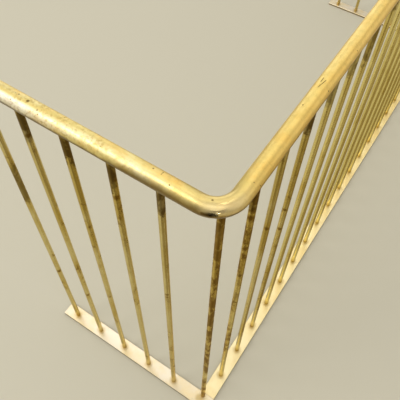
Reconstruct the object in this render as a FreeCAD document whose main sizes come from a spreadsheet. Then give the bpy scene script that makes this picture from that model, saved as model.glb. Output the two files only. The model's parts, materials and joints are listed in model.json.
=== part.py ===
import FreeCAD, Part
import math
import os
import Sketcher

# Three-sided brass nursery fire guard.
# A bent tube rail and a flat foot strip are held apart by plain upright rods.
# Millimetres. +X runs along the front, +Y goes back to the wall, +Z is up.
# The origin is on the floor, at the middle of the footprint.

FRONT_ROD_COUNT = 20
SIDE_ROD_COUNT = 5

# Driving dimensions: name, value, meaning
SIZES = [
    ("front_pitch", "57.15", "front rod to front rod"),
    ("front_first", "57.15", "crossing of the rod lines at a corner to the first front rod"),
    ("side_pitch", "57.15", "side rod to side rod"),
    ("side_first", "67.0", "crossing of the rod lines at a corner to the first side rod"),
    ("strip_overhang", "25.6", "last side rod to the square end of the side strip"),
    ("rail_overhang", "22.0", "last side rod to the open end of the tube"),
    ("guard_height", "640.0", "floor to the top of the rail"),
    ("rail_diameter", "19.05", "outside of the tube"),
    ("rail_wall", "1.25", "wall of the tube"),
    ("bend_radius", "26.0", "centre line of the tube at a corner"),
    ("rod_diameter", "8.0", "shank of every rod"),
    ("rod_entry", "4.0", "rod end above the lowest line of the bore"),
    ("rod_end_bevel", "0.8", "broken edge at the upper end of a rod"),
    ("tenon_diameter", "5.0", "turned foot of a rod, through the strip"),
    ("rivet_diameter", "7.2", "spread foot of a rod, at the floor face of the strip"),
    ("rivet_depth", "1.2", "height of the spread foot"),
    ("strip_width", "25.4", "flat foot strip"),
    ("strip_thickness", "4.8", "flat foot strip"),
    ("strip_bevel", "0.5", "broken upper edges of the strip"),
    ("lap_height", "2.4", "lower half of a lapped corner, on the front strip"),
    ("lap_gap", "0.15", "seam between the lapped strips"),
    ("hole_clearance", "0.05", "round each rod, tenon and plug in its hole"),
    ("plug_gap", "4.0", "inner end of a plug to the last rod"),
    ("plug_rim", "1.2", "straight edge of a plug head"),
    ("plug_crown", "2.0", "rise of a plug head above its edge"),
    ("plug_bevel", "0.8", "lead-in of a plug"),
]

doc = FreeCAD.newDocument("FireGuard")
sheet = doc.addObject("Spreadsheet::Sheet", "sizes")
for row, (name, number, meaning) in enumerate(SIZES, start=1):
    sheet.set(f"A{row}", meaning)
    sheet.set(f"B{row}", number)
    sheet.setAlias(f"B{row}", name)
doc.recompute()

# Lengths that follow from the driving dimensions
HALF_SPAN = f"(sizes.front_first + sizes.front_pitch * {FRONT_ROD_COUNT - 1} / 2)"
SIDE_SPAN = f"(sizes.side_first + sizes.side_pitch * {SIDE_ROD_COUNT - 1})"
HALF_WIDTH = "(sizes.strip_width / 2)"
DEPTH = f"({HALF_WIDTH} + {SIDE_SPAN} + sizes.strip_overhang)"
FRONT_Y = f"({HALF_WIDTH} - {DEPTH} / 2)"
TUBE_END_Y = f"({FRONT_Y} + {SIDE_SPAN} + sizes.rail_overhang)"
RAIL_RADIUS = "(sizes.rail_diameter / 2)"
BORE_RADIUS = f"({RAIL_RADIUS} - sizes.rail_wall)"
RAIL_Z = f"(sizes.guard_height - {RAIL_RADIUS})"
ROD_RADIUS = "(sizes.rod_diameter / 2)"
ROD_TOP = f"({RAIL_Z} - {BORE_RADIUS} + sizes.rod_entry)"
TENON_RADIUS = "(sizes.tenon_diameter / 2)"
RIVET_RADIUS = "(sizes.rivet_diameter / 2)"
PLUG_LENGTH = f"(sizes.rail_overhang - {ROD_RADIUS} - sizes.plug_gap)"
# A corner rod stands under the middle of the bend
CORNER_INSET = "(sizes.bend_radius * (1 - sqrt(0.5)))"

ORIGIN, START, END, CENTRE = (-1, 1), 1, 2, 3
sub_parts = []


def value(text):
    return float(sheet.evalExpression(text))


def point(x, y):
    return FreeCAD.Vector(value(x), value(y), 0)


def new_body(label, x="0", y="0", z="0", rotation=None):
    body = doc.addObject("PartDesign::Body", label)
    body.Label = label
    if rotation is not None:
        body.Placement = FreeCAD.Placement(FreeCAD.Vector(), rotation)
    for axis, text in zip("xyz", (x, y, z)):
        body.setExpression(f"Placement.Base.{axis}", text)
    sub_parts.append(body)
    return body


def origin_plane(body, role):
    return next(item for item in body.Origin.OriginFeatures if item.Role == role)


def new_sketch(body, name, role, offset="0"):
    sketch = body.newObject("Sketcher::SketchObject", f"{body.Name}_{name}")
    sketch.AttachmentSupport = [(origin_plane(body, role), "")]
    sketch.MapMode = "FlatFace"
    sketch.setExpression("AttachmentOffset.Base.z", offset)
    return sketch


def new_feature(body, kind, name):
    return body.newObject(f"PartDesign::{kind}", f"{body.Name}_{name}")


def drive(sketch, constraint, text):
    index = sketch.addConstraint(constraint)
    sketch.setExpression(f"Constraints[{index}]", text)


def pin(sketch, geometry, end, x=None, y=None):
    """Holds one point of a sketch at driven distances from the sketch's origin."""
    for kind, text in (("DistanceX", x), ("DistanceY", y)):
        if text is not None:
            drive(sketch, Sketcher.Constraint(kind, *ORIGIN, geometry, end, value(text)), text)


def outline(sketch, corners):
    """A closed outline with straight sides through driven corners."""
    spots = [point(x, y) for x, y in corners]
    first = sketch.GeometryCount
    count = len(spots)
    for side in range(count):
        sketch.addGeometry(Part.LineSegment(spots[side], spots[(side + 1) % count]))
    for side in range(count):
        following = first + (side + 1) % count
        sketch.addConstraint(Sketcher.Constraint("Coincident", first + side, END, following, START))
    for side, (x, y) in enumerate(corners):
        pin(sketch, first + side, START, x, y)


def circle(sketch, x, y, radius):
    index = sketch.addGeometry(Part.Circle(point(x, y), FreeCAD.Vector(0, 0, 1), value(radius)))
    pin(sketch, index, CENTRE, x, y)
    drive(sketch, Sketcher.Constraint("Radius", index, value(radius)), radius)


def turn(body, kind, sketch, axis):
    """A full turn of a sketch, added (Revolution) or cut (Groove)."""
    feature = new_feature(body, kind, f"{kind}_{sketch.Name}")
    feature.Profile = sketch
    feature.ReferenceAxis = (sketch, [axis])
    feature.Angle = 360
    return feature


def repeat(body, feature, sketch, axis, length, count):
    """Copies of a cut along an axis of its sketch."""
    pattern = new_feature(body, "LinearPattern", f"row_{feature.Name}")
    pattern.Originals = [feature]
    pattern.Direction = (sketch, [axis])
    pattern.setExpression("Length", length)
    pattern.Occurrences = count
    body.Tip = pattern
    return pattern


# Top rail: a tube along a U-shaped path, drilled from below

def rail_path(body):
    sketch = new_sketch(body, "path", "XY_Plane")
    left, right = f"(-{HALF_SPAN})", HALF_SPAN
    left_centre = f"({left} + sizes.bend_radius)"
    right_centre = f"({right} - sizes.bend_radius)"
    bend_y = f"({FRONT_Y} + sizes.bend_radius)"
    up = FreeCAD.Vector(0, 0, 1)
    radius = value("sizes.bend_radius")

    def bend(centre_x, start_angle):
        ring = Part.Circle(point(centre_x, bend_y), up, radius)
        return Part.ArcOfCircle(ring, start_angle, start_angle + math.pi / 2)

    sketch.addGeometry(Part.LineSegment(point(left, TUBE_END_Y), point(left, bend_y)))
    sketch.addGeometry(bend(left_centre, math.pi))
    sketch.addGeometry(Part.LineSegment(point(left_centre, FRONT_Y), point(right_centre, FRONT_Y)))
    sketch.addGeometry(bend(right_centre, math.pi * 3 / 2))
    sketch.addGeometry(Part.LineSegment(point(right, bend_y), point(right, TUBE_END_Y)))
    left_run, left_bend, front_run, right_bend, right_run = range(5)
    for run in range(4):
        sketch.addConstraint(Sketcher.Constraint("Tangent", run, END, run + 1, START))
    sketch.addConstraint(Sketcher.Constraint("Vertical", left_run))
    sketch.addConstraint(Sketcher.Constraint("Horizontal", front_run))
    sketch.addConstraint(Sketcher.Constraint("Vertical", right_run))
    pin(sketch, left_run, START, left, TUBE_END_Y)
    pin(sketch, right_run, END, right, TUBE_END_Y)
    pin(sketch, front_run, START, None, FRONT_Y)
    for arc in (left_bend, right_bend):
        drive(sketch, Sketcher.Constraint("Radius", arc, radius), "sizes.bend_radius")
    return sketch


def drill(body, name, spots):
    """Holes through the lower wall of the tube, big enough for a rod."""
    sketch = new_sketch(body, name, "XY_Plane")
    for x, y in spots:
        circle(sketch, x, y, f"({ROD_RADIUS} + sizes.hole_clearance)")
    pocket = new_feature(body, "Pocket", f"{name}_cut")
    pocket.Profile = sketch
    pocket.Type = "ThroughAll"
    return sketch, pocket


def make_top_rail():
    body = new_body("top_rail", z=RAIL_Z)
    path = rail_path(body)
    ring = new_sketch(body, "ring", "XZ_Plane", f"(-{TUBE_END_Y})")
    circle(ring, f"(-{HALF_SPAN})", "0", RAIL_RADIUS)
    circle(ring, f"(-{HALF_SPAN})", "0", BORE_RADIUS)
    tube = new_feature(body, "AdditivePipe", "tube")
    tube.Profile = ring
    tube.Spine = (path, [])
    first_x = f"(-{HALF_SPAN} + sizes.front_first)"
    sketch, hole = drill(body, "front_hole", [(first_x, FRONT_Y)])
    row = f"(sizes.front_pitch * {FRONT_ROD_COUNT - 1})"
    repeat(body, hole, sketch, "H_Axis", row, FRONT_ROD_COUNT)
    first_y = f"({FRONT_Y} + sizes.side_first)"
    sketch, hole = drill(body, "side_hole", [(f"(-{HALF_SPAN})", first_y), (HALF_SPAN, first_y)])
    row = f"(sizes.side_pitch * {SIDE_ROD_COUNT - 1})"
    repeat(body, hole, sketch, "V_Axis", row, SIDE_ROD_COUNT)
    corner_x = f"({HALF_SPAN} - {CORNER_INSET})"
    corner_y = f"({FRONT_Y} + {CORNER_INSET})"
    drill(body, "corner_hole", [(f"(-{corner_x})", corner_y), (corner_x, corner_y)])


def make_end_plug(label, x):
    """A turned plug: a spigot in the bore and a domed head over the end of the tube."""
    to_wall = FreeCAD.Rotation(FreeCAD.Vector(1, 0, 0), -90)
    body = new_body(label, x, TUBE_END_Y, RAIL_Z, to_wall)
    sketch = new_sketch(body, "profile", "XZ_Plane")
    spigot = f"({BORE_RADIUS} - sizes.hole_clearance)"
    crown_z = "(sizes.plug_rim + sizes.plug_crown)"
    corners = [
        ("0", crown_z),
        ("0", f"(-{PLUG_LENGTH})"),
        (f"({spigot} - sizes.plug_bevel)", f"(-{PLUG_LENGTH})"),
        (spigot, f"(sizes.plug_bevel - {PLUG_LENGTH})"),
        (spigot, "0"),
        (RAIL_RADIUS, "0"),
        (RAIL_RADIUS, "sizes.plug_rim"),
    ]
    spots = [point(x_text, y_text) for x_text, y_text in corners]
    for start, end in zip(spots, spots[1:]):
        sketch.addGeometry(Part.LineSegment(start, end))
    sides = len(spots) - 1
    for side in range(sides - 1):
        sketch.addConstraint(Sketcher.Constraint("Coincident", side, END, side + 1, START))
    for side, (x_text, y_text) in enumerate(corners[:-1]):
        pin(sketch, side, START, x_text, y_text)
    pin(sketch, sides - 1, END, *corners[-1])
    edge, rise = value(RAIL_RADIUS), value("sizes.plug_crown")
    dome_radius = (edge ** 2 + rise ** 2) / (2 * rise)
    dome_centre = FreeCAD.Vector(0, spots[0].y - dome_radius, 0)
    ring = Part.Circle(dome_centre, FreeCAD.Vector(0, 0, 1), dome_radius)
    sketch.addGeometry(Part.ArcOfCircle(ring, ring.parameter(spots[-1]), ring.parameter(spots[0])))
    sketch.addConstraint(Sketcher.Constraint("Coincident", sides, START, sides - 1, END))
    sketch.addConstraint(Sketcher.Constraint("Coincident", sides, END, 0, START))
    sketch.addConstraint(Sketcher.Constraint("PointOnObject", sides, CENTRE, -2))
    turn(body, "Revolution", sketch, "V_Axis")


def make_rod(label, x, y):
    """A rod: spread foot and tenon in the strip, shank, and an upper end inside the bore."""
    body = new_body(label, x, y)
    sketch = new_sketch(body, "profile", "XZ_Plane")
    outline(sketch, [
        ("0", "0"),
        (RIVET_RADIUS, "0"),
        (TENON_RADIUS, "sizes.rivet_depth"),
        (TENON_RADIUS, "sizes.strip_thickness"),
        (ROD_RADIUS, "sizes.strip_thickness"),
        (ROD_RADIUS, f"({ROD_TOP} - sizes.rod_end_bevel)"),
        (f"({ROD_RADIUS} - sizes.rod_end_bevel)", ROD_TOP),
        ("0", ROD_TOP),
    ])
    turn(body, "Revolution", sketch, "V_Axis")


# Foot strips: flat bar with broken upper edges, half-lapped at the front corners

def bar(body, role, start, length):
    """A bar whose section lies on an origin plane and runs on from there."""
    section = new_sketch(body, "section", role, start)
    low_side, high_side = f"(-{HALF_WIDTH})", HALF_WIDTH
    shoulder = "(sizes.strip_thickness - sizes.strip_bevel)"
    outline(section, [
        (low_side, "0"),
        (high_side, "0"),
        (high_side, shoulder),
        (f"({high_side} - sizes.strip_bevel)", "sizes.strip_thickness"),
        (f"({low_side} + sizes.strip_bevel)", "sizes.strip_thickness"),
        (low_side, shoulder),
    ])
    pad = new_feature(body, "Pad", "bar")
    pad.Profile = section
    pad.setExpression("Length", length)
    return pad


def cut_across(body, name, role, corners):
    """Removes a side-view outline right across the bar."""
    sketch = new_sketch(body, name, role)
    outline(sketch, corners)
    pocket = new_feature(body, "Pocket", f"{name}_cut")
    pocket.Profile = sketch
    pocket.Type = "ThroughAll"
    pocket.Midplane = True


def tenon_hole(body, name, role, along, across, low="0", spread=True):
    """A turned hole for a tenon, spread at the floor face where the foot is riveted over."""
    sketch = new_sketch(body, name, role, across)
    top = "sizes.strip_thickness"
    axis = sketch.addGeometry(Part.LineSegment(point(along, low), point(along, top)), True)
    pin(sketch, axis, START, along, low)
    pin(sketch, axis, END, along, top)
    edge = f"({along} + {TENON_RADIUS} + sizes.hole_clearance)"
    wide_edge = f"({along} + {RIVET_RADIUS} + sizes.hole_clearance)"
    mouth = [(wide_edge, low), (edge, "sizes.rivet_depth")] if spread else [(edge, low)]
    outline(sketch, [(along, low), *mouth, (edge, top), (along, top)])
    return sketch, turn(body, "Groove", sketch, "Axis0")


def make_front_strip():
    body = new_body("front_strip", y=FRONT_Y)
    half_length = f"({HALF_SPAN} + {HALF_WIDTH})"
    bar(body, "YZ_Plane", f"(-{half_length})", f"(2 * {half_length})")
    lap_start = f"({HALF_SPAN} - {HALF_WIDTH} - sizes.lap_gap)"
    for name, sign in (("left_lap", "-"), ("right_lap", "")):
        cut_across(body, name, "XZ_Plane", [
            (f"({sign}{lap_start})", "sizes.lap_height"),
            (f"({sign}{half_length})", "sizes.lap_height"),
            (f"({sign}{half_length})", "sizes.strip_thickness"),
            (f"({sign}{lap_start})", "sizes.strip_thickness"),
        ])
    first_x = f"(-{HALF_SPAN} + sizes.front_first)"
    sketch, hole = tenon_hole(body, "tenon_hole", "XZ_Plane", first_x, "0")
    row = f"(sizes.front_pitch * {FRONT_ROD_COUNT - 1})"
    repeat(body, hole, sketch, "H_Axis", row, FRONT_ROD_COUNT)
    corner_x = f"({HALF_SPAN} - {CORNER_INSET})"
    for name, sign in (("left_corner", "-"), ("right_corner", "")):
        tenon_hole(body, name, "XZ_Plane", f"({sign}{corner_x})", f"(-{CORNER_INSET})")


def make_side_strip(label, sign):
    body = new_body(label, f"({sign}{HALF_SPAN})", FRONT_Y)
    front_end = f"(-{HALF_WIDTH})"
    pad = bar(body, "XZ_Plane", HALF_WIDTH, DEPTH)
    pad.Reversed = True
    lap_end = f"({HALF_WIDTH} + sizes.lap_gap)"
    cut_across(body, "lap", "YZ_Plane", [
        (front_end, "0"),
        (lap_end, "0"),
        (lap_end, "sizes.lap_height"),
        (front_end, "sizes.lap_height"),
    ])
    sketch, hole = tenon_hole(body, "tenon_hole", "YZ_Plane", "sizes.side_first", "0")
    row = f"(sizes.side_pitch * {SIDE_ROD_COUNT - 1})"
    repeat(body, hole, sketch, "H_Axis", row, SIDE_ROD_COUNT)
    inward = CORNER_INSET if sign == "-" else f"(-{CORNER_INSET})"
    tenon_hole(body, "corner", "YZ_Plane", CORNER_INSET, inward, low="sizes.lap_height", spread=False)


make_top_rail()
make_end_plug("rail_end_plug_left", f"(-{HALF_SPAN})")
make_end_plug("rail_end_plug_right", HALF_SPAN)
make_front_strip()
make_side_strip("left_strip", "-")
make_side_strip("right_strip", "")
for number in range(FRONT_ROD_COUNT):
    make_rod(
        f"front_rod_{number + 1:02d}",
        f"(-{HALF_SPAN} + sizes.front_first + sizes.front_pitch * {number})",
        FRONT_Y,
    )
for label, sign in (("left", "-"), ("right", "")):
    corner_x = f"({sign}({HALF_SPAN} - {CORNER_INSET}))"
    make_rod(f"corner_rod_{label}", corner_x, f"({FRONT_Y} + {CORNER_INSET})")
    for number in range(SIDE_ROD_COUNT):
        rod_y = f"({FRONT_Y} + sizes.side_first + sizes.side_pitch * {number})"
        make_rod(f"{label}_rod_{number + 1}", f"({sign}{HALF_SPAN})", rod_y)

doc.recompute()

for item in doc.Objects:
    if "Invalid" in item.State or "Error" in item.State:
        raise RuntimeError(f"{item.Name} did not build: {item.State}")
for body in sub_parts:
    if body.Shape.isNull() or not body.Shape.isValid() or len(body.Shape.Solids) != 1:
        raise RuntimeError(f"{body.Label} is not one valid solid")

os.makedirs("parts", exist_ok=True)
for body in sub_parts:
    body.Shape.exportStep(f"parts/{body.Label}.step")
    print(f"{body.Label}: {body.Shape.Volume:.1f} cubic millimetres")
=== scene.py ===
# %% [markdown]
# # A brass nursery fire guard
# The guard stands round a hearth on three sides: a bent tube rail on top, a row of thin rods, and flat
# strips on the floor that the rods are riveted to. Every piece is already modelled at its real size in
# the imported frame. This lesson loads that frame, leaves the shapes alone, and gives the metal its age:
# one step at a time, camera and light first, then the shared wear effects, then one finish per piece.

# %% Load the frame
import json
import math
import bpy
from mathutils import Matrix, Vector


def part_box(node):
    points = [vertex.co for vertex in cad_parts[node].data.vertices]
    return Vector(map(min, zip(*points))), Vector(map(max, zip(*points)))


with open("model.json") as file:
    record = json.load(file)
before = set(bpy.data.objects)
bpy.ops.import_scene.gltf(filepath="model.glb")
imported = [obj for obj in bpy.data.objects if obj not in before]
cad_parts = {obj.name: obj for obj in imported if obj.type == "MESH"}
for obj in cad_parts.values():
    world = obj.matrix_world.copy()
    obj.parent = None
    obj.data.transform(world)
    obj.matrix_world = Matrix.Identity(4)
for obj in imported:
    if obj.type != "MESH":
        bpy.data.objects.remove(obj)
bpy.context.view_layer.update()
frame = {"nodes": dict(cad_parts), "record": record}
from types import SimpleNamespace
import bmesh
import bpy
from mathutils import Quaternion, Vector

nodes = frame["nodes"]
scene = bpy.context.scene
print("pieces in the frame:", len(nodes))

# %% [markdown]
# ## The camera
# The guard is seen from outside and above its left front corner, close to the rail, so the rods run
# away downwards and draw together at their feet. A camera can be turned by hand until it looks right,
# but here its place, aim and tilt were worked out from where the rods meet the rail and the strips.
# A quaternion that tracks the aim does most of the turning, and a small roll about the view line does
# the rest.

# %% Camera
CAMERA_SPOT = Vector((-0.8098, -0.2580, 1.0018))
CAMERA_AIM = Vector((-0.6026, -0.1306, 0.6400))
CAMERA_ROLL = math.radians(2.21)
CAMERA_LENS = 47.68


def turn_towards(holder, spot, aim_at, roll=0.0):
    """Puts an object at a spot, looking down its own -Z axis at a point."""
    track = (Vector(aim_at) - Vector(spot)).to_track_quat("-Z", "Y")
    holder.location = spot
    holder.rotation_mode = "QUATERNION"
    holder.rotation_quaternion = track @ Quaternion((0, 0, 1), roll)


camera_data = bpy.data.cameras.new("camera")
camera_data.lens = CAMERA_LENS
camera = bpy.data.objects.new("camera", camera_data)
scene.collection.objects.link(camera)
turn_towards(camera, CAMERA_SPOT, CAMERA_AIM, CAMERA_ROLL)
scene.camera = camera
print("camera is", round((CAMERA_AIM - CAMERA_SPOT).length, 3), "m from its aim")

# %% [markdown]
# ## The floor
# Upright rods seen from above mirror the floor more than anything else, so the floor's tone decides
# half of their colour. A plain, pale, warm grey is enough: one big square from a grid operator with a
# single cell. It is quite matt, so that no lamp shines back from it.

# %% Floor
FLOOR_HALF = 6.0
FLOOR_COLOUR = (0.555, 0.517, 0.40, 1)
STAGE_ROUGHNESS = 0.9
STAGE_SHEEN = 0.0


def stage_piece(name, shape, colour):
    """Turns a bmesh into a plainly painted piece of the stage."""
    mesh = bpy.data.meshes.new(name)
    shape.to_mesh(mesh)
    shape.free()
    piece = bpy.data.objects.new(name, mesh)
    scene.collection.objects.link(piece)
    paint = bpy.data.materials.new(name + "_paint")
    paint.use_nodes = True
    coat = paint.node_tree.nodes["Principled BSDF"].inputs
    coat["Base Color"].default_value = colour
    coat["Roughness"].default_value = STAGE_ROUGHNESS
    coat["Specular IOR Level"].default_value = STAGE_SHEEN
    mesh.materials.append(paint)
    return piece


square = bmesh.new()
bmesh.ops.create_grid(square, x_segments=1, y_segments=1, size=FLOOR_HALF)
stage_piece("floor", square, FLOOR_COLOUR)
print("floor is", 2 * FLOOR_HALF, "m wide")

# %% [markdown]
# ## Dark things for the mirrors
# Seen from above, a rod mirrors the patch of floor between itself and the camera. In a real room,
# whoever looks down stands there, and this gives each rod a dark middle between two pale edges and the
# bend a black spot underneath. A brown round mat and a nearly black stool do the same here, and a brown
# runner along the front darkens the outer side of the front rods. Only mirror rays see these three, so
# they throw no shadow and are in no picture.

# %% Dark mat, runner and stool
MAT_SPOT = Vector((-0.97, -0.45, 0.002))
MAT_RADIUS = 0.36
MAT_SIDES = 64
MAT_COLOUR = (0.30, 0.24, 0.12, 1)
RUNNER_SPOT = Vector((-0.10, -0.50, 0.003))
RUNNER_SIZE = Vector((0.90, 0.62, 1.0))
METRE_HALF = 0.5
STOOL_SPOT = Vector((-1.08, -0.37, 0.29))
STOOL_RADIUS = 0.14
STOOL_HEIGHT = 0.56
STOOL_SIDES = 32
STOOL_COLOUR = (0.02, 0.016, 0.01, 1)

disc = bmesh.new()
rim = bmesh.ops.create_circle(disc, cap_ends=True, segments=MAT_SIDES, radius=MAT_RADIUS)
bmesh.ops.translate(disc, verts=rim["verts"], vec=MAT_SPOT)
carpet = bmesh.new()
weave = bmesh.ops.create_grid(carpet, x_segments=1, y_segments=1, size=METRE_HALF)
bmesh.ops.scale(carpet, verts=weave["verts"], vec=RUNNER_SIZE)
bmesh.ops.translate(carpet, verts=weave["verts"], vec=RUNNER_SPOT)
drum = bmesh.new()
seat = bmesh.ops.create_cone(drum, cap_ends=True, segments=STOOL_SIDES, radius1=STOOL_RADIUS,
                             radius2=STOOL_RADIUS, depth=STOOL_HEIGHT)
bmesh.ops.translate(drum, verts=seat["verts"], vec=STOOL_SPOT)
dark_things = [stage_piece("dark_mat", disc, MAT_COLOUR), stage_piece("dark_runner", carpet, MAT_COLOUR),
               stage_piece("dark_stool", drum, STOOL_COLOUR)]
for piece in dark_things:
    piece.visible_camera = False
    piece.visible_diffuse = False
    piece.visible_shadow = False
    print(piece.name, "is only seen by mirror rays")

# %% [markdown]
# ## The light
# Brass shows the room more than itself, so the room is built from soft round discs. A wide ceiling and
# two skylights give the strips and the top of the rail their glow. Pale walls on all sides keep the
# flanks of the rail golden. The windows at the left and at the back draw the pale band along the left
# run, and two small discs, the pendant and the floor lamp, draw the streak and the glint on the bend.
# The floor lamp stands so low that it would draw a pool of light beside itself, so only mirrors see it.
# The satin metal spreads every disc, so that none shows a hard rim. The world adds the dim light of
# whatever else is in the room.

# %% Light
WALL_LIGHT = (1.0, 0.98, 0.95, 1)
WALL_STRENGTH = 0.36
CORNER = (-0.6, -0.1, 0.6)


def softbox(name, spot, aim_at, width, glow):
    """Makes a round area lamp whose face has the brightness called glow."""
    lamp = bpy.data.lights.new(name, "AREA")
    lamp.shape = "DISK"
    lamp.size = width
    face = math.pi * width * width / 4
    lamp.energy = glow * math.pi * face
    holder = bpy.data.objects.new(name, lamp)
    scene.collection.objects.link(holder)
    turn_towards(holder, spot, aim_at)
    holder.visible_camera = False
    print(name, "gives", round(lamp.energy, 1), "W")
    return holder


softbox("ceiling", spot=(0.9, -0.1, 3.6), aim_at=(0.9, -0.1, 0.0), width=8.0, glow=0.32)
softbox("skylight", spot=(0.0, 1.05, 2.9), aim_at=(-0.5, 0.0, 0.0), width=1.3, glow=1.2)
softbox("front_skylight", spot=(1.7, -0.05, 2.9), aim_at=(-0.3, -0.1, 0.3), width=2.8, glow=0.62)
softbox("pendant", spot=(-0.23, -0.40, 2.6), aim_at=(-0.6, -0.15, 0.6), width=0.3, glow=7.0)
softbox("back_wall", spot=(3.2, 2.6, 1.5), aim_at=(-0.4, 0.0, 0.5), width=3.2, glow=1.1)
softbox("front_wall", spot=(3.1, -3.1, 1.4), aim_at=(-0.3, -0.1, 0.6), width=3.2, glow=0.68)
floor_lamp = softbox("floor_lamp", spot=(-2.79, -1.88, 0.18), aim_at=CORNER, width=0.42, glow=13.0)
floor_lamp.visible_diffuse = False
softbox("camera_wall", spot=(-2.2, -1.0, 2.75), aim_at=CORNER, width=3.0, glow=0.7)
softbox("near_wall", spot=(-0.3, -3.0, 1.7), aim_at=CORNER, width=3.2, glow=0.5)
softbox("left_wall", spot=(-2.8, 2.0, 1.3), aim_at=(-0.6, 0.0, 0.6), width=2.2, glow=0.95)
softbox("window", spot=(-2.5, 1.8, 3.2), aim_at=(-0.6, 0.0, 0.4), width=1.9, glow=4.3)
softbox("back_window", spot=(-0.4, 3.6, 1.9), aim_at=(-0.3, 0.0, 0.4), width=3.0, glow=1.5)
world = bpy.data.worlds.new("walls")
scene.world = world
world.use_nodes = True
background = world.node_tree.nodes["Background"]
background.inputs["Color"].default_value = WALL_LIGHT
background.inputs["Strength"].default_value = WALL_STRENGTH
scene.view_settings.view_transform = "Standard"

# %% [markdown]
# ## Small helpers for node trees
# A finish here is a graph of many small nodes. Written out in full, each node takes four or five lines.
# These helpers make a node, feed its sockets with numbers or with other sockets, and hand back the
# result, so that a finish further down reads like a recipe. The four short ones are single Math nodes,
# a ramp is a Map Range node, and layered lays colours over each other like coats of paint.

# %% Node helpers
MIX_FACTOR, MIX_A, MIX_B, MIX_COLOUR = 0, 6, 7, 2


def feed(tree, socket, value):
    """Links a socket to another one, or sets it to a plain value."""
    if isinstance(value, bpy.types.NodeSocket):
        tree.links.new(value, socket)
    else:
        socket.default_value = value


def maths(tree, operation, first, second=0.0):
    step = tree.nodes.new("ShaderNodeMath")
    step.operation = operation
    feed(tree, step.inputs[0], first)
    feed(tree, step.inputs[1], second)
    return step.outputs[0]


def times(tree, first, second):
    return maths(tree, "MULTIPLY", first, second)


def plus(tree, first, second):
    return maths(tree, "ADD", first, second)


def minus(tree, first, second):
    return maths(tree, "SUBTRACT", first, second)


def larger(tree, first, second):
    return maths(tree, "MAXIMUM", first, second)


def ramp(tree, value, low, high, start=0.0, end=1.0):
    """Goes smoothly from start to end as the value goes from low to high."""
    step = tree.nodes.new("ShaderNodeMapRange")
    step.interpolation_type = "SMOOTHSTEP"
    entries = {"Value": value, "From Min": low, "From Max": high, "To Min": start, "To Max": end}
    for name, entry in entries.items():
        feed(tree, step.inputs[name], entry)
    return step.outputs["Result"]


def fall(tree, value, low, high):
    """Falls smoothly from 1 to 0 as the value goes from low to high."""
    return ramp(tree, value, low, high, 1.0, 0.0)


def between(tree, mask, start, end):
    """Start where a mask is 0 and end where it is 1."""
    return ramp(tree, mask, 0.0, 1.0, start, end)


def blend(tree, factor, first, second):
    """Mixes two colours."""
    step = tree.nodes.new("ShaderNodeMix")
    step.data_type = "RGBA"
    feed(tree, step.inputs[MIX_FACTOR], factor)
    feed(tree, step.inputs[MIX_A], first)
    feed(tree, step.inputs[MIX_B], second)
    return step.outputs[MIX_COLOUR]


def layered(tree, base, layers):
    """Lays colours over a base, one after another. A layer is a mask, its share and its colour."""
    colour = base
    for mask, share, coat in layers:
        colour = blend(tree, times(tree, mask, share), colour, coat)
    return colour


print("helpers for steps and colours are ready")

# %% [markdown]
# ## Helpers for patterns
# Wear is either a pattern that covers everything or a mark in one place. A noise texture gives the
# first. For a mark, the distance to a point or to a line is enough: it is 1 in the core and falls off to
# 0 at the rim. A picture could hold the marks too, but a distance stays sharp however near one looks.

# %% Pattern helpers
SPOT_CORE = 0.35
STREAK_CORE = 0.3
STREAK_BODY = 0.6


def noise(tree, place, scale, detail, roughness):
    cloud = tree.nodes.new("ShaderNodeTexNoise")
    feed(tree, cloud.inputs["Vector"], place)
    feed(tree, cloud.inputs["Scale"], scale)
    feed(tree, cloud.inputs["Detail"], detail)
    feed(tree, cloud.inputs["Roughness"], roughness)
    return cloud.outputs["Fac"]


def coordinate(tree, place, axis):
    """One coordinate of a place."""
    split = tree.nodes.new("ShaderNodeSeparateXYZ")
    feed(tree, split.inputs[0], place)
    return split.outputs[axis]


def vectors(tree, operation, first, second=(0, 0, 0)):
    step = tree.nodes.new("ShaderNodeVectorMath")
    step.operation = operation
    feed(tree, step.inputs[0], first)
    feed(tree, step.inputs[1], second)
    return step.outputs


def stretched(tree, place, by):
    """A place whose axes are multiplied by three numbers: a small one draws a pattern out that way."""
    return vectors(tree, "MULTIPLY", place, by)["Vector"]


def near(tree, place, spot, reach):
    """1 close to a spot, falling to 0 at the reach."""
    gap = vectors(tree, "DISTANCE", place, spot)["Value"]
    return fall(tree, gap, SPOT_CORE * reach, reach)


def streak(tree, place, start, end, width):
    """1 on a straight line from start to end, falling to 0 at the width and towards both ends."""
    start, end = Vector(start), Vector(end)
    way = (end - start).normalized()
    half = (end - start).length / 2
    off = vectors(tree, "SUBTRACT", place, (start + end) / 2)["Vector"]
    along = maths(tree, "ABSOLUTE", vectors(tree, "DOT_PRODUCT", off, way)["Value"])
    across = vectors(tree, "LENGTH", vectors(tree, "CROSS_PRODUCT", off, way)["Vector"])["Value"]
    body = fall(tree, along, STREAK_BODY * half, half)
    return times(tree, fall(tree, across, STREAK_CORE * width, width), body)


print("helpers for patterns and marks are ready")

# %% [markdown]
# ## Helpers for shared effects
# An effect that several finishes use is worth making once. A node group is Blender's way to do that: it
# has named inputs, and each finish that uses it sets them for itself. Every group here puts out one mask.

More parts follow.
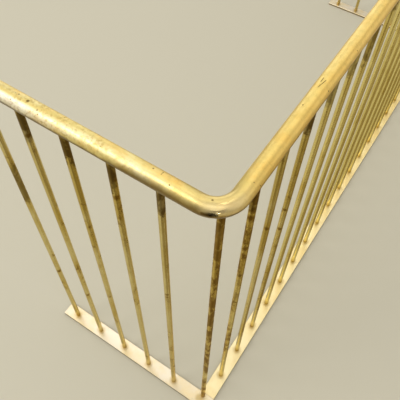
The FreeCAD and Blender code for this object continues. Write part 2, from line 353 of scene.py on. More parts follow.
# %% Group helpers
def new_group(name, inputs):
    """Starts a node group that puts out one mask. Inputs are (name, socket type, default)."""
    group = bpy.data.node_groups.new(name, "ShaderNodeTree")
    for title, kind, default in inputs:
        socket = group.interface.new_socket(title, in_out="INPUT", socket_type="NodeSocket" + kind)
        socket.default_value = default
    group.interface.new_socket("Mask", in_out="OUTPUT", socket_type="NodeSocketFloat")
    entry = group.nodes.new("NodeGroupInput").outputs
    mask = group.nodes.new("NodeGroupOutput").inputs["Mask"]
    return group, entry, mask


def effect(tree, group, **values):
    """Places a group in a tree, sets its inputs by name and hands back its mask."""
    step = tree.nodes.new("ShaderNodeGroup")
    step.node_tree = group
    for name, value in values.items():
        feed(tree, step.inputs[name], value)
    return step.outputs["Mask"]


print("helpers for shared effects are ready")

# %% [markdown]
# ## Shared effect: tarnish clouds
# Brass that is rubbed now and then stays bright where the cloth reaches and goes brown elsewhere, in
# cloudy patches with ragged edges. One noise texture gives round, smooth clouds, so a finer one is
# added to fray their outline. The group puts out a mask, and each finish decides what colour, gloss
# and scale the clouds have.

# %% Tarnish clouds
FRAY_SCALE = 5.3
FRAY_SHARE = 0.22


def make_tarnish_clouds():
    inputs = [("Place", "Vector", (0, 0, 0)), ("Scale", "Float", 20.0), ("Level", "Float", 0.5),
              ("Softness", "Float", 0.1)]
    group, entry, mask = new_group("tarnish_clouds", inputs)
    fine = times(group, entry["Scale"], FRAY_SCALE)
    clouds = noise(group, entry["Place"], entry["Scale"], detail=3.0, roughness=0.5)
    fray = noise(group, entry["Place"], fine, detail=2.0, roughness=0.6)
    whole = plus(group, times(group, clouds, 1 - FRAY_SHARE), times(group, fray, FRAY_SHARE))
    low = minus(group, entry["Level"], entry["Softness"])
    high = plus(group, entry["Level"], entry["Softness"])
    feed(group, mask, ramp(group, whole, low, high))
    return group


tarnish_clouds = make_tarnish_clouds()
print(tarnish_clouds.name, "has", len(tarnish_clouds.nodes), "nodes")

# %% [markdown]
# ## Shared effect: specks
# Old brass is dotted with pits and spots of dark oxide, each by itself. A Voronoi texture cuts space
# into cells with one centre each. The cell's random colour picks the few cells that get a speck and how
# large it is, and the distance to the centre draws it. A noise texture would give clouds again, not
# separate dots.

# %% Specks
SMALLEST_SPECK = 0.4
SPECK_CORE = 0.45


def make_specks():
    inputs = [("Place", "Vector", (0, 0, 0)), ("Scale", "Float", 200.0), ("Share", "Float", 0.1),
              ("Size", "Float", 0.2)]
    group, entry, mask = new_group("specks", inputs)
    cells = group.nodes.new("ShaderNodeTexVoronoi")
    feed(group, cells.inputs["Vector"], entry["Place"])
    feed(group, cells.inputs["Scale"], entry["Scale"])
    chance = group.nodes.new("ShaderNodeSeparateColor")
    feed(group, chance.inputs[0], cells.outputs["Color"])
    chosen = maths(group, "LESS_THAN", chance.outputs[0], entry["Share"])
    reach = times(group, entry["Size"], between(group, chance.outputs[1], SMALLEST_SPECK, 1.0))
    dot = fall(group, cells.outputs["Distance"], times(group, reach, SPECK_CORE), reach)
    feed(group, mask, times(group, dot, chosen))
    return group


specks = make_specks()
print(specks.name, "has", len(specks.nodes), "nodes")

# %% [markdown]
# ## Shared effect: rubbing lines
# A polishing cloth leaves fine lines along the way it is pulled, and the metal under them is a little
# more or less dull. Noise that is squeezed across the stroke and drawn out along it gives such lines
# without a hand-made picture. Stretch says how much each axis is drawn out: a small number along the
# stroke, 1 across it.

# %% Rubbing lines
ALONG_X, ALONG_Y, ALONG_Z = (0.05, 1, 1), (1, 0.05, 1), (1, 1, 0.05)
FAINT_LINE, STRONG_LINE = 0.3, 0.7


def make_rubbing_lines():
    inputs = [("Place", "Vector", (0, 0, 0)), ("Stretch", "Vector", ALONG_X), ("Scale", "Float", 400.0)]
    group, entry, mask = new_group("rubbing_lines", inputs)
    drawn = stretched(group, entry["Place"], entry["Stretch"])
    lines = noise(group, drawn, entry["Scale"], detail=3.0, roughness=0.65)
    feed(group, mask, ramp(group, lines, FAINT_LINE, STRONG_LINE))
    return group


rubbing_lines = make_rubbing_lines()
print(rubbing_lines.name, "has", len(rubbing_lines.nodes), "nodes")

# %% [markdown]
# ## Shared effect: grime and shade towards a height
# Darker metal lies under the rail, partly oxide and partly painted shade and reflection, at the top of
# each rod where it enters the rail, partly tarnish and partly painted shade, and in a ring at each rod's
# foot. All of these lie above or below some height, so the height of the point, shaken a little by noise,
# is enough to draw them. Start is where the grime begins and Full is where it covers the metal, and Full
# may lie above or below Start.

# %% Grime and shade towards a height
NOISE_MIDDLE = 0.5


def make_height_grime_and_shade():
    inputs = [("Place", "Vector", (0, 0, 0)), ("Start", "Float", 0.0), ("Full", "Float", 0.1),
              ("Shake", "Float", 0.01), ("Scale", "Float", 60.0)]
    group, entry, mask = new_group("height_grime_and_shade", inputs)
    uneven = noise(group, entry["Place"], entry["Scale"], detail=3.0, roughness=0.6)
    shake = times(group, minus(group, uneven, NOISE_MIDDLE), entry["Shake"])
    height = plus(group, coordinate(group, entry["Place"], "Z"), shake)
    feed(group, mask, ramp(group, height, entry["Start"], entry["Full"]))
    return group


height_grime_and_shade = make_height_grime_and_shade()
print(height_grime_and_shade.name, "has", len(height_grime_and_shade.nodes), "nodes")

# %% [markdown]
# ## Starting a finish
# Each finish is a metal with its own colour recipe. This helper makes the material, hands back its
# tree, its shader and the Object coordinates, which run in metres from the middle of the guard on the
# floor, so that a pattern has its real size and differs from rod to rod. Oxide is a little less of a
# metal than clean brass.

# %% Start of a finish
# This dark paints oxide, and on the rail it also paints shade and reflection.
DARK_OXIDE_AND_SHADE = (0.13, 0.07, 0.009, 1)
CLEAN_METAL, OXIDE_METAL = 0.95, 0.9


def new_finish(name):
    finish = bpy.data.materials.new(name)
    finish.use_nodes = True
    tree = finish.node_tree
    place = tree.nodes.new("ShaderNodeTexCoord").outputs["Object"]
    return finish, tree, tree.nodes["Principled BSDF"].inputs, place


def dent(tree, shader, height, depth):
    """Lets a height pattern, of the given depth in metres, push the surface in and out."""
    bump = tree.nodes.new("ShaderNodeBump")
    bump.inputs["Distance"].default_value = depth
    feed(tree, bump.inputs["Height"], height)
    feed(tree, shader["Normal"], bump.outputs["Normal"])


print("dark oxide is", DARK_OXIDE_AND_SHADE[:3])

# %% [markdown]
# ## Places on the rail
# A mark needs a place, so the lines that the rail follows come first: how high its axis is, how thick it
# is, and where its front run and its two returns lie. They could be typed in, but the boxes of the
# pieces know them. A plug sits in the end of each return, so its middle lies on the return's axis, and a
# corner rod stands under the middle of each bend. The two ends of the guard are alike, so a folded place,
# whose left half lies on the right one, lets both ends share one zone.

# %% Places on the rail
BEND_RADIUS = 0.026


def middle(node_name):
    low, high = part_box(node_name)
    return (low + high) / 2


def foot_of(node_name):
    """The place on the floor under the middle of an upright piece."""
    return middle(node_name).to_2d().to_3d()


def folded(tree, place):
    """A place whose left half is folded over onto the right half."""
    join = tree.nodes.new("ShaderNodeCombineXYZ")
    feed(tree, join.inputs["X"], maths(tree, "ABSOLUTE", coordinate(tree, place, "X")))
    feed(tree, join.inputs["Y"], coordinate(tree, place, "Y"))
    feed(tree, join.inputs["Z"], coordinate(tree, place, "Z"))
    return join.outputs[0]


rail_low, rail_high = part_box("top_rail")
plug_middle = middle("rail_end_plug_left")
RAIL_TOP = rail_high.z
RAIL_AXIS = plug_middle.z
RAIL_RADIUS = RAIL_TOP - RAIL_AXIS
RETURN_LINE = -plug_middle.x
FRONT_LINE = rail_low.y + RAIL_RADIUS
BEND_CENTRE = (RETURN_LINE - BEND_RADIUS, FRONT_LINE + BEND_RADIUS, RAIL_TOP)
BEND_MIDDLE = foot_of("corner_rod_right") + Vector((0, 0, RAIL_AXIS))
print("rail axis is", round(RAIL_AXIS, 4), "m up, radius", round(RAIL_RADIUS, 5), "m")

# %% [markdown]
# ## Zones of the rail
# Hands and cloths reach some stretches of the rail and miss others, so it has zones: the front run, whose
# outer side is tan, the returns, and the bends between them. The outside of each return has a pale band,
# partly brass that hands have rubbed and partly a painted highlight. It drifts a little up and down the
# tube, and a weathered stretch lies above it towards the wall. Each zone is a mask. A pair of numbers says
# where it begins and where it is full, in metres, as a distance from the middle of the guard or as a depth
# from front to wall, so that zones can overlap softly. Where a ramp doesn't run from 0 to 1, two more
# numbers say what it runs between.

# %% Zones of the rail
RETURN_DEPTH = (FRONT_LINE + 0.03, FRONT_LINE + 0.10)
FRONT_REACH = (RETURN_LINE + 0.012, RETURN_LINE - 0.060)
TAN_DEPTH = (FRONT_LINE + 0.002, FRONT_LINE - 0.006)
AMBER_FRONT = 0.8
AMBER_DEPTH = (FRONT_LINE + 0.02, FRONT_LINE + 0.13, 0.6, 0.05)
BEND_REACH = 0.032
INSIDE_REACH = (BEND_RADIUS, 1.2 * BEND_RADIUS)
FIRST_DRIFT = (-0.08, -0.04, 0.0012, -0.0012)
SECOND_DRIFT = (-0.03, 0.07, 0.0, 0.0040)
BAND_INNER = (RETURN_LINE - 0.001, RETURN_LINE + 0.003)
BAND_OUTER = (RETURN_LINE + 0.0075, RETURN_LINE + 0.0092)
WEATHERED_INNER = (RETURN_LINE - 0.005, RETURN_LINE + 0.0005)
WEATHERED_OUTER = (RETURN_LINE + 0.002, RETURN_LINE + 0.0045)
WEATHERED_DEPTH = (0.0, 0.07)
PITTED_SPOT = (-0.5992, 0.0640, RAIL_TOP)
PITTED_REACH = 0.04


def rail_zones(tree, place):
    zones = SimpleNamespace()
    zones.both_ends = folded(tree, place)
    zones.off_middle = coordinate(tree, zones.both_ends, "X")
    zones.depth = coordinate(tree, place, "Y")
    zones.returns = ramp(tree, zones.depth, *RETURN_DEPTH)
    front_run = ramp(tree, zones.off_middle, *FRONT_REACH)
    zones.tan = times(tree, front_run, ramp(tree, zones.depth, *TAN_DEPTH))
    zones.amber = larger(tree, times(tree, front_run, AMBER_FRONT), ramp(tree, zones.depth, *AMBER_DEPTH))
    zones.bends = near(tree, zones.both_ends, BEND_MIDDLE, BEND_REACH)
    inside = vectors(tree, "DISTANCE", zones.both_ends, BEND_CENTRE)["Value"]
    zones.inside = fall(tree, inside, *INSIDE_REACH)
    drift = plus(tree, ramp(tree, zones.depth, *FIRST_DRIFT), ramp(tree, zones.depth, *SECOND_DRIFT))
    band = minus(tree, zones.off_middle, drift)
    # The pale band is partly rubbed brass and partly a painted highlight.
    rubbed = times(tree, ramp(tree, band, *BAND_INNER), fall(tree, band, *BAND_OUTER))
    zones.rubbed = times(tree, rubbed, zones.returns)
    weathered = times(tree, ramp(tree, band, *WEATHERED_INNER), fall(tree, band, *WEATHERED_OUTER))
    zones.weathered = times(tree, weathered, ramp(tree, zones.depth, *WEATHERED_DEPTH))
    zones.pitted = near(tree, place, PITTED_SPOT, PITTED_REACH)
    return zones


print("pale band is", round(1000 * (BAND_OUTER[0] - BAND_INNER[1]), 1), "mm wide")

# %% [markdown]
# ## Marks on the rail
# Small pits lie all over the rail, closer together in one place on the left return, and chance may put
# them where it likes. Three larger pits and three scratches catch the eye, so they have places of their
# own. Pits and scratches are both dark dents, so one mask holds them all.

# %% Marks on the rail
PIT_SHARE, PITTED_SHARE = 0.05, 0.45
SINGLE_PITS = [((-0.5968, -0.1391, RAIL_TOP), 0.0014), ((-0.6000, 0.0635, RAIL_TOP), 0.0024),
               ((-0.5975, -0.0795, RAIL_TOP), 0.0013)]
SCRATCHES = [((-0.4210, -0.1513, 0.6395), (-0.4120, -0.1512, 0.6395)),
             ((-0.4298, -0.1523, 0.6398), (-0.4138, -0.1552, RAIL_TOP)),
             ((-0.6000, -0.0888, RAIL_TOP), (-0.5952, -0.0890, 0.6387))]
SCRATCH_WIDTH = 0.0006


def marks_on_rail(tree, place, zones):
    share = plus(tree, times(tree, zones.pitted, PITTED_SHARE), PIT_SHARE)
    marks = effect(tree, specks, Place=place, Scale=260.0, Share=share, Size=0.32)
    for spot, reach in SINGLE_PITS:
        marks = larger(tree, marks, near(tree, place, spot, reach))
    for start, end in SCRATCHES:
        marks = larger(tree, marks, streak(tree, place, start, end, SCRATCH_WIDTH))
    return marks


print("single pits:", len(SINGLE_PITS), "and scratches:", len(SCRATCHES))

# %% [markdown]
# ## Strokes, oxide and painted shade on the rail
# A cloth is pulled along the tube, so its strokes turn with the rail: two sets of rubbing lines, one for
# the front and one for the returns, change over just before the bends, and the bends have none. The
# underside has a dark line, partly old oxide that no cloth gets to and partly painted shade and painted
# reflection. On the outside of the returns the line climbs next to the bends, so both of its heights
# depend on the place.

# %% Strokes, oxide and painted shade on the rail
TURN_REACH = (RETURN_LINE - 0.03, RETURN_LINE - 0.01)
RAIL_STROKES = 420.0
OUTER_SIDE = (RETURN_LINE - 0.006, RETURN_LINE + 0.004)
OUTER_DEPTH = (FRONT_LINE + 0.006, FRONT_LINE + 0.03)
OUTER_LEAST = 0.25
OUTER_FADE = (-0.085, -0.02, 1.0, OUTER_LEAST)
OXIDE_AND_SHADE_START = (RAIL_AXIS + 0.15 * RAIL_RADIUS, RAIL_TOP)
OXIDE_AND_SHADE_FULL = (RAIL_AXIS - 0.25 * RAIL_RADIUS, RAIL_AXIS - 0.05 * RAIL_RADIUS)


def strokes_along_rail(tree, place, zones):
    """Rubbing lines that run along the front of the rail and turn with it into the two sides."""
    front = effect(tree, rubbing_lines, Place=place, Stretch=ALONG_X, Scale=RAIL_STROKES)
    side = effect(tree, rubbing_lines, Place=place, Stretch=ALONG_Y, Scale=RAIL_STROKES)
    gain = times(tree, minus(tree, side, front), ramp(tree, zones.off_middle, *TURN_REACH))
    return times(tree, plus(tree, front, gain), minus(tree, 1.0, zones.bends))


def oxide_and_shade_under_rail(tree, place, zones):
    """Oxide, painted shade and painted reflection on the underside, which climbs on the outside of the
    returns next to the bends.
    """
    outer = times(tree, ramp(tree, zones.off_middle, *OUTER_SIDE), ramp(tree, zones.depth, *OUTER_DEPTH))
    outer = times(tree, outer, ramp(tree, zones.depth, *OUTER_FADE))
    start = between(tree, outer, *OXIDE_AND_SHADE_START)
    full = ramp(tree, outer, OUTER_LEAST, 1.0, *OXIDE_AND_SHADE_FULL)
    # The underside line is partly oxide and partly painted shade and painted reflection.
    return effect(tree, height_grime_and_shade, Place=place, Start=start, Full=full, Shake=0.004, Scale=90.0)


print("oxide starts", round(1000 * (OXIDE_AND_SHADE_START[0] - RAIL_AXIS), 1), "mm above the rail's axis")

# %% [markdown]
# ## The rail's colour
# The rail is held and wiped more than the rest, so it is golden: amber on the front run and next to the
# bends, and paler along a band on the returns, which is partly brass rubbed by hands and partly a painted
# highlight that turns nearly white towards the wall. Redder clouds, a blushed place next to the left bend,
# olive mottling and fine brown grain lie over it. No cloth gets to the inner side of the bends, which is
# olive like the weathered stretches. Under the left bend a black line is a painted reflection of a dark
# thing. A painted picture could hold all this, but it would need unwrapping and blurs close up. Here
# each colour is a layer of its own, so that one can be moved without the rest.

# %% Rail colour
RAIL_GOLD = (0.85, 0.71, 0.28, 1)
RAIL_PALE = (0.89, 0.79, 0.42, 1)
RAIL_RUBBED_AND_HIGHLIGHT = (0.92, 0.81, 0.46, 1)
RAIL_WHITE_HIGHLIGHT = (0.96, 0.92, 0.76, 1)
RAIL_AMBER = (0.89, 0.65, 0.19, 1)
RAIL_TAN = (0.88, 0.56, 0.13, 1)
RAIL_BLUSH = (0.86, 0.53, 0.11, 1)
RAIL_OLIVE = (0.66, 0.51, 0.15, 1)
RAIL_BEND = (0.78, 0.61, 0.32, 1)
RAIL_BROWN = (0.46, 0.28, 0.05, 1)
WHITE_HIGHLIGHT_DEPTH = (0.0, 0.10)
TOP_WHITE_HIGHLIGHT_DEPTH = (0.0, 0.09, 0.0, 0.5)
BLUSHED_SPOT = (-0.5975, -0.0985, RAIL_TOP)
BLUSHED_REACH = 0.020
BLUSHED_SIDE = (RETURN_LINE + 0.0005, RETURN_LINE + 0.0030)
FRONT_GRAIN = 0.35
OXIDE_AND_SHADE_MOST = 0.86
DARK_REFLECTION_LINE = ((-0.6090, -0.1330, 0.6315), (-0.6046, -0.1462, 0.6312))
DARK_REFLECTION_WIDTH = 0.0036


def rail_blush(tree, place, zones):
    """Redder clouds, and the blushed place on the inner side of the left return."""
    clouds = effect(tree, tarnish_clouds, Place=place, Scale=55.0, Level=0.55, Softness=0.12)
    blushed = near(tree, place, BLUSHED_SPOT, BLUSHED_REACH)
    return plus(tree, clouds, times(tree, blushed, fall(tree, zones.off_middle, *BLUSHED_SIDE)))


def rail_grain(tree, place, zones):
    """Fine brown grain in worn clouds, most of all on the returns and where the pits are close."""
    worn = effect(tree, tarnish_clouds, Place=place, Scale=24.0, Level=0.50, Softness=0.10)
    worn = times(tree, worn, between(tree, zones.returns, FRONT_GRAIN, 1.0))
    grain = effect(tree, tarnish_clouds, Place=place, Scale=340.0, Level=0.56, Softness=0.08)
    return times(tree, grain, larger(tree, worn, zones.pitted))


def rail_colour(tree, place, zones, mottle, under, marks):
    pale = effect(tree, tarnish_clouds, Place=place, Scale=16.0, Level=0.52, Softness=0.16)
    # The band's colour is partly rubbed brass and partly a painted highlight, whiter towards the wall.
    wiped_and_highlight = blend(tree, ramp(tree, zones.depth, *WHITE_HIGHLIGHT_DEPTH), RAIL_RUBBED_AND_HIGHLIGHT, RAIL_WHITE_HIGHLIGHT)
    # The underside line, partly oxide and partly painted shade and reflection, is capped here.
    oxide_and_shade = maths(tree, "MINIMUM", under, OXIDE_AND_SHADE_MOST)
    layers = [
        (pale, 1.0, RAIL_PALE),
        (zones.amber, 1.0, RAIL_AMBER),
        (zones.tan, 0.7, RAIL_TAN),
        (zones.rubbed, 0.85, wiped_and_highlight),
        (rail_blush(tree, place, zones), 0.5, RAIL_BLUSH),
        (mottle, 0.35, RAIL_OLIVE),
        (zones.weathered, 0.6, RAIL_OLIVE),
        (zones.bends, 0.6, RAIL_BEND),
        (zones.inside, 0.55, RAIL_OLIVE),
        (strokes_along_rail(tree, place, zones), 0.25, RAIL_OLIVE),
        # Towards the wall the band is painted nearly white as a highlight.
        (zones.rubbed, ramp(tree, zones.depth, *TOP_WHITE_HIGHLIGHT_DEPTH), RAIL_WHITE_HIGHLIGHT),
        (rail_grain(tree, place, zones), 0.5, RAIL_BROWN),
        # The black line under the left bend is a painted reflection of a dark thing.
        (larger(tree, oxide_and_shade, streak(tree, place, *DARK_REFLECTION_LINE, DARK_REFLECTION_WIDTH)), 0.95, DARK_OXIDE_AND_SHADE),
        (marks, 0.85, DARK_OXIDE_AND_SHADE),
    ]
    return layered(tree, RAIL_GOLD, layers)


print("rail gold is", RAIL_GOLD[:3])

# %% [markdown]
# ## The rail's finish
# The rail is satin, a little rougher on the returns and in the mottling, and smoother on the bends, which
# have one burnished place each. The old tube isn't quite even, so very shallow waves, drawn by a Bump
# node without touching the mesh, break up what it mirrors. The pits and scratches go in the same way.

# %% Rail finish
FRONT_ROUGHNESS, RETURN_ROUGHNESS = 0.38, 0.44
MOTTLE_ROUGHNESS = 0.06
BEND_GLOSS = 0.08
BURNISHED_SPOT = (0.6030, -0.1482, 0.6328)
BURNISHED_REACH = 0.010
BURNISHED_GLOSS = 0.18
WAVE_SCALE = 34.0
WAVE_DEPTH = 0.0002


def rail_roughness(tree, zones, mottle):
    satin = between(tree, zones.returns, FRONT_ROUGHNESS, RETURN_ROUGHNESS)
    satin = plus(tree, satin, times(tree, mottle, MOTTLE_ROUGHNESS))
    satin = minus(tree, satin, times(tree, zones.bends, BEND_GLOSS))
    burnished = near(tree, zones.both_ends, BURNISHED_SPOT, BURNISHED_REACH)
    return minus(tree, satin, times(tree, burnished, BURNISHED_GLOSS))


def make_rail_finish():
    finish, tree, shader, place = new_finish("rail_brass")
    zones = rail_zones(tree, place)
    marks = marks_on_rail(tree, place, zones)
    under = oxide_and_shade_under_rail(tree, place, zones)
    mottle = effect(tree, tarnish_clouds, Place=place, Scale=130.0, Level=0.54, Softness=0.10)
    feed(tree, shader["Base Color"], rail_colour(tree, place, zones, mottle, under, marks))
    feed(tree, shader["Roughness"], rail_roughness(tree, zones, mottle))
    feed(tree, shader["Metallic"], between(tree, under, CLEAN_METAL, OXIDE_METAL))
    waves = noise(tree, place, WAVE_SCALE, detail=1.0, roughness=0.5)
    waves = times(tree, waves, minus(tree, 1.0, zones.bends))
    dent(tree, shader, minus(tree, waves, marks), WAVE_DEPTH)
    return finish


rail_finish = make_rail_finish()
print(rail_finish.name, "has", len(rail_finish.node_tree.nodes), "nodes")

# %% [markdown]
# ## Spots on the rods
# A few dark spots lie on the rods by chance, and eleven others catch the eye, each on one rod. A spot could
# be given by three coordinates, but these would say little to a reader. So each one is given by its rod,
# its height in metres, the direction in degrees that it faces and its reach, and the rod's own box says
# where that is.

# %% Spots on the rods
SINGLE_SPOTS = [
    ("left_rod_5", 0.203, 243, 0.006),
    ("left_rod_4", 0.581, 238, 0.005),
    ("left_rod_4", 0.179, 238, 0.005),
    ("left_rod_3", 0.245, 235, 0.003),
    ("left_rod_2", 0.562, 227, 0.006),
    ("left_rod_1", 0.398, 203, 0.004),
    ("left_rod_1", 0.391, 203, 0.003),
    ("front_rod_01", 0.560, 201, 0.006),
    ("front_rod_02", 0.460, 198, 0.005),
    ("front_rod_03", 0.428, 195, 0.004),
    ("front_rod_03", 0.380, 195, 0.005),
]
rod_low, rod_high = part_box("front_rod_01")
ROD_RADIUS = (rod_high.x - rod_low.x) / 2


def on_rod(rod, height, facing):
    """The point of a rod's surface at a height, on the side that faces a direction."""
    turn = math.radians(facing)
    return foot_of(rod) + Vector((ROD_RADIUS * math.cos(turn), ROD_RADIUS * math.sin(turn), height))


def spots_on_rods(tree, place):
    spots = effect(tree, specks, Place=place, Scale=60.0, Share=0.008, Size=0.22)
    for rod, height, facing, reach in SINGLE_SPOTS:
        spots = larger(tree, spots, near(tree, place, on_rod(rod, height, facing), reach))
    return spots


print("single spots:", len(SINGLE_SPOTS), "on rods of radius", round(ROD_RADIUS, 4), "m")

# %% [markdown]
# ## Dark tops of the rods
# Under the rail each rod has a dark top, partly tarnish and partly painted shade of the rail, that ends
# at a clear border, at a height of its own. Noise that is flattened to the floor plan hardly changes
# within one rod, so it can draw that height, and four front rods, whose borders stand out, get a shift
# of their own. The dark is thinner in places, and one rod has a long stain further down, which is made
# of the same dark.

# %% Dark tops of the rods
ROD_TOP = rail_low.z
WHOLE_ROD = (1, 1, 0)
LUCK_SCALE = 31.0
LUCK_RANGE = (0.35, 0.65)
TOP_HEIGHTS = (ROD_TOP - 0.010, ROD_TOP - 0.050)
BORDER_SHIFTS = {"front_rod_02": 0.05, "front_rod_04": -0.04, "front_rod_05": -0.04, "front_rod_06": -0.03}
ROD_REACH = 0.03
BORDER_SOFTNESS = 0.005
THIN_TOP = 0.6
STAINED_ROD = foot_of("left_rod_5")
LONG_STAIN = (STAINED_ROD + Vector((0, 0, 0.400)), STAINED_ROD + Vector((0, 0, 0.500)))
LONG_STAIN_WIDTH = 0.02
LONG_STAIN_SHARE = 0.72


def dark_tops(tree, place, drawn):
    plan = stretched(tree, place, WHOLE_ROD)
    luck = noise(tree, plan, LUCK_SCALE, detail=0.0, roughness=0.5)
    border = ramp(tree, luck, *LUCK_RANGE, *TOP_HEIGHTS)
    for rod, shift in BORDER_SHIFTS.items():
        border = plus(tree, border, times(tree, near(tree, plan, foot_of(rod), ROD_REACH), shift))
    start = minus(tree, border, BORDER_SOFTNESS)
    full = plus(tree, border, BORDER_SOFTNESS)
    # The dark top is partly tarnish and partly painted shade under the rail.
    tops = effect(tree, height_grime_and_shade, Place=place, Start=start, Full=full, Shake=0.045, Scale=110.0)
    stain = streak(tree, place, *LONG_STAIN, LONG_STAIN_WIDTH)
    tops = larger(tree, tops, times(tree, stain, LONG_STAIN_SHARE))
    uneven = effect(tree, tarnish_clouds, Place=drawn, Scale=90.0, Level=0.48, Softness=0.08)
    return times(tree, tops, between(tree, uneven, THIN_TOP, 1.0))


print("dark tops end", [round(1000 * (ROD_TOP - height)) for height in TOP_HEIGHTS], "mm below the rail")

# %% [markdown]
# ## The rods' finish
# A cloth skims over the rods and misses much of them, so they are a duller, greener brass with brown
# patches and the spots. Each also has a dark top, partly tarnish and partly painted shade under the rail,
# and a darker ring at the foot. The dull clouds are drawn out down the rod, and there are more of them
# towards the rail. They lie in the guard's own space, so no two rods come out alike. Where patches and
# tops are, the metal is rougher. The pale edge of each rod, where it is seen at a slant, takes its
# colour from the shader's specular tint.

# %% Rod finish
ROD_DARK = (0.22, 0.11, 0.005, 1)
ROD_BLACK = (0.10, 0.05, 0.004, 1)
ROD_EDGE = (0.92, 0.84, 0.66, 1)
ROD_SHEEN = 0.3
CLEAN_ROUGHNESS, DIRTY_ROUGHNESS = 0.24, 0.42
DOWN_THE_ROD = (1, 1, 0.5)
STRIP_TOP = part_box("front_strip")[1].z
FOOT_DARK_START = STRIP_TOP + 0.025
PATCHES_ON_BRIGHT = 0.15


def make_rod_finish(name, gold, dull_gold, patch_level, dull_level, rise, top_share):
    finish, tree, shader, place = new_finish(name)
    drawn = stretched(tree, place, DOWN_THE_ROD)
    height = coordinate(tree, place, "Z")
    level = ramp(tree, height, STRIP_TOP, ROD_TOP, dull_level + rise, dull_level - rise)
    dull = effect(tree, tarnish_clouds, Place=drawn, Scale=22.0, Level=level, Softness=0.12)
    patches = effect(tree, tarnish_clouds, Place=drawn, Scale=130.0, Level=patch_level, Softness=0.06)
    patches = times(tree, patches, between(tree, dull, PATCHES_ON_BRIGHT, 1.0))
    strokes = effect(tree, rubbing_lines, Place=place, Stretch=ALONG_Z, Scale=700.0)
    tops = dark_tops(tree, place, drawn)
    # The rod is darker towards its foot, where it meets the strip.
    foot = effect(tree, height_grime_and_shade, Place=place, Start=FOOT_DARK_START, Full=STRIP_TOP, Shake=0.01, Scale=90.0)
    layers = [
        (dull, 1.0, dull_gold),
        (strokes, 0.4, dull_gold),
        (patches, 0.9, ROD_DARK),
        (spots_on_rods(tree, place), 0.85, ROD_DARK),
        # The dark top is partly tarnish and partly painted shade under the rail.
        (tops, top_share, ROD_BLACK),
        (foot, 0.55, ROD_DARK),
    ]
    feed(tree, shader["Base Color"], layered(tree, gold, layers))
    dirt = larger(tree, patches, tops)
    feed(tree, shader["Roughness"], between(tree, dirt, CLEAN_ROUGHNESS, DIRTY_ROUGHNESS))
    feed(tree, shader["Metallic"], between(tree, dirt, CLEAN_METAL, OXIDE_METAL))
    shader["Specular IOR Level"].default_value = ROD_SHEEN
    shader["Specular Tint"].default_value = ROD_EDGE
    return finish


print("dirt at the foot starts", round(1000 * (FOOT_DARK_START - STRIP_TOP)), "mm above the strip")

# %% [markdown]
# ## Four grades of rods
# The rods at the corners are the darkest, partly from tarnish and partly from painted shade in the
# corners, their neighbours in the front are less dark, and those in the middle of the front are the
# cleanest. The rest, among them all side rods, are duller and greener. One function makes all four
# finishes from a few numbers, so that they stay related. A lower patch or dull level means more patches
# or more dull metal, and the rise says how much more dull metal there is towards the rail.

# %% Grades of rods
ROD_GOLD = (0.75, 0.65, 0.31, 1)
ROD_DULL = (0.57, 0.43, 0.11, 1)
CLEAN_GOLD = (0.88, 0.76, 0.32, 1)
CLEAN_DULL = (0.62, 0.46, 0.11, 1)
FIRST_CLEAN, LAST_CLEAN = 4, 17

rod_finish = make_rod_finish("rod_brass", ROD_GOLD, ROD_DULL, patch_level=0.61, dull_level=0.51,
                             rise=0.05, top_share=0.9)
# The corner rods' darker finish is partly tarnish and partly painted shade in the corners.
dark_finish = make_rod_finish("corner_rod_brass", CLEAN_GOLD, CLEAN_DULL, patch_level=0.47, dull_level=0.36,
                              rise=0.04, top_share=0.4)
half_finish = make_rod_finish("next_rod_brass", CLEAN_GOLD, CLEAN_DULL, patch_level=0.50, dull_level=0.44,
                              rise=0.16, top_share=0.7)
clean_finish = make_rod_finish("front_rod_brass", CLEAN_GOLD, CLEAN_DULL, patch_level=0.66, dull_level=0.62,
                               rise=0.06, top_share=0.7)
other_rods = {"corner_rod_left": dark_finish, "corner_rod_right": dark_finish, "front_rod_01": half_finish,
              "front_rod_20": half_finish}
for number in range(FIRST_CLEAN, LAST_CLEAN + 1):
    other_rods["front_rod_%02d" % number] = clean_finish
print("rods with a finish of their own:", list(other_rods))

# %% [markdown]
# ## The strips' finish
# The strips lie flat under the light and shine pale yellow, the side ones paler than the front one. Round
# every rod's rivet hole lies a brown ring, partly a stain that has crept out and partly a painted
# reflection of the rod, and the upright edges are dull. The ring depends on the distance to the nearest
# rod, so the pattern is turned with a Mapping node until it runs along the strip from the first rod, and a
# ping-pong node then measures how far the next rod is.

# %% Strip finish
SIDE_PALE = (0.86, 0.76, 0.58, 1)
FRONT_PALE = (0.95, 0.81, 0.47, 1)
STRIP_WARM = (0.86, 0.66, 0.29, 1)
STAIN_AND_REFLECTION = (0.60, 0.44, 0.17, 1)
STAIN_AND_REFLECTION_REACH = 0.008
STAIN_AND_REFLECTION_FRAY = 0.006
EDGE_START, EDGE_FULL = STRIP_TOP - 0.0003, STRIP_TOP - 0.0016
FLAT_ROUGHNESS, EDGE_ROUGHNESS = 0.36, 0.6
EDGE_METAL = 0.5


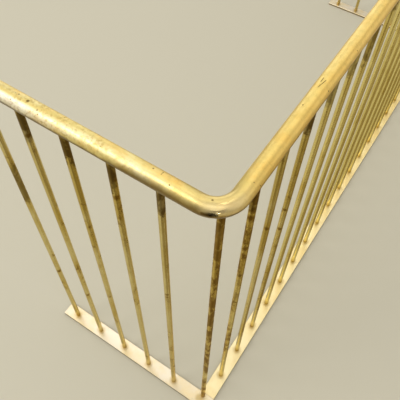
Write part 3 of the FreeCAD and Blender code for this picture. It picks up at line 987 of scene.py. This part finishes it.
def to_nearest_rod(tree, place, first_rod, next_rod):
    """How far it is on the strip to the nearest rod of a row."""
    start = middle(first_rod)
    run = middle(next_rod) - start
    turned = tree.nodes.new("ShaderNodeMapping")
    turned.vector_type = "TEXTURE"
    turned.inputs["Location"].default_value = (start.x, start.y, 0)
    turned.inputs["Rotation"].default_value = (0, 0, math.atan2(run.y, run.x))
    feed(tree, turned.inputs["Vector"], place)
    along = maths(tree, "PINGPONG", coordinate(tree, turned.outputs[0], "X"), run.length / 2)
    across = coordinate(tree, turned.outputs[0], "Y")
    return maths(tree, "SQRT", plus(tree, times(tree, along, along), times(tree, across, across)))


def make_strip_finish(name, pale, first_rod, next_rod):
    finish, tree, shader, place = new_finish(name)
    fray = times(tree, noise(tree, place, 90.0, detail=2.0, roughness=0.5), STAIN_AND_REFLECTION_FRAY)
    gap = minus(tree, to_nearest_rod(tree, place, first_rod, next_rod), fray)
    warm = effect(tree, tarnish_clouds, Place=place, Scale=22.0, Level=0.52, Softness=0.15)
    flecks = effect(tree, specks, Place=place, Scale=120.0, Share=0.05, Size=0.2)
    edge = effect(tree, height_grime_and_shade, Place=place, Start=EDGE_START, Full=EDGE_FULL, Shake=0.0)
    layers = [
        (warm, 0.6, STRIP_WARM),
        (flecks, 0.6, STAIN_AND_REFLECTION),
        # The ring round each rod is partly a stain and partly a painted reflection of the rod.
        (fall(tree, gap, 0.0, STAIN_AND_REFLECTION_REACH), 0.7, STAIN_AND_REFLECTION),
        (edge, 0.75, DARK_OXIDE_AND_SHADE),
    ]
    feed(tree, shader["Base Color"], layered(tree, pale, layers))
    feed(tree, shader["Roughness"], between(tree, edge, FLAT_ROUGHNESS, EDGE_ROUGHNESS))
    feed(tree, shader["Metallic"], between(tree, edge, CLEAN_METAL, EDGE_METAL))
    return finish


strip_finishes = {
    "front_strip": make_strip_finish("front_strip_brass", FRONT_PALE, "front_rod_01", "front_rod_02"),
    "left_strip": make_strip_finish("left_strip_brass", SIDE_PALE, "left_rod_1", "left_rod_2"),
    "right_strip": make_strip_finish("right_strip_brass", SIDE_PALE, "right_rod_1", "right_rod_2"),
}
print("strip finishes:", list(strip_finishes))

# %% [markdown]
# ## Putting the finishes on
# The record says which slot each piece takes its finish from. The strips have a finish each, because
# their rings of stain and painted reflection follow their own rods. The rods at and next to the corners
# have the darker finishes, whose dark is partly painted shade in the corners, and those in the middle of
# the front have the cleaner one.

# %% Dress the pieces
slot_finishes = {"rail_brass": rail_finish, "rod_brass": rod_finish}
for part in frame["record"]["subparts"]:
    name = part["node"]
    finish = slot_finishes.get(part["material_slot"])
    finish = strip_finishes.get(name, finish)
    finish = other_rods.get(name, finish)
    mesh = nodes[name].data
    mesh.materials.clear()
    mesh.materials.append(finish)
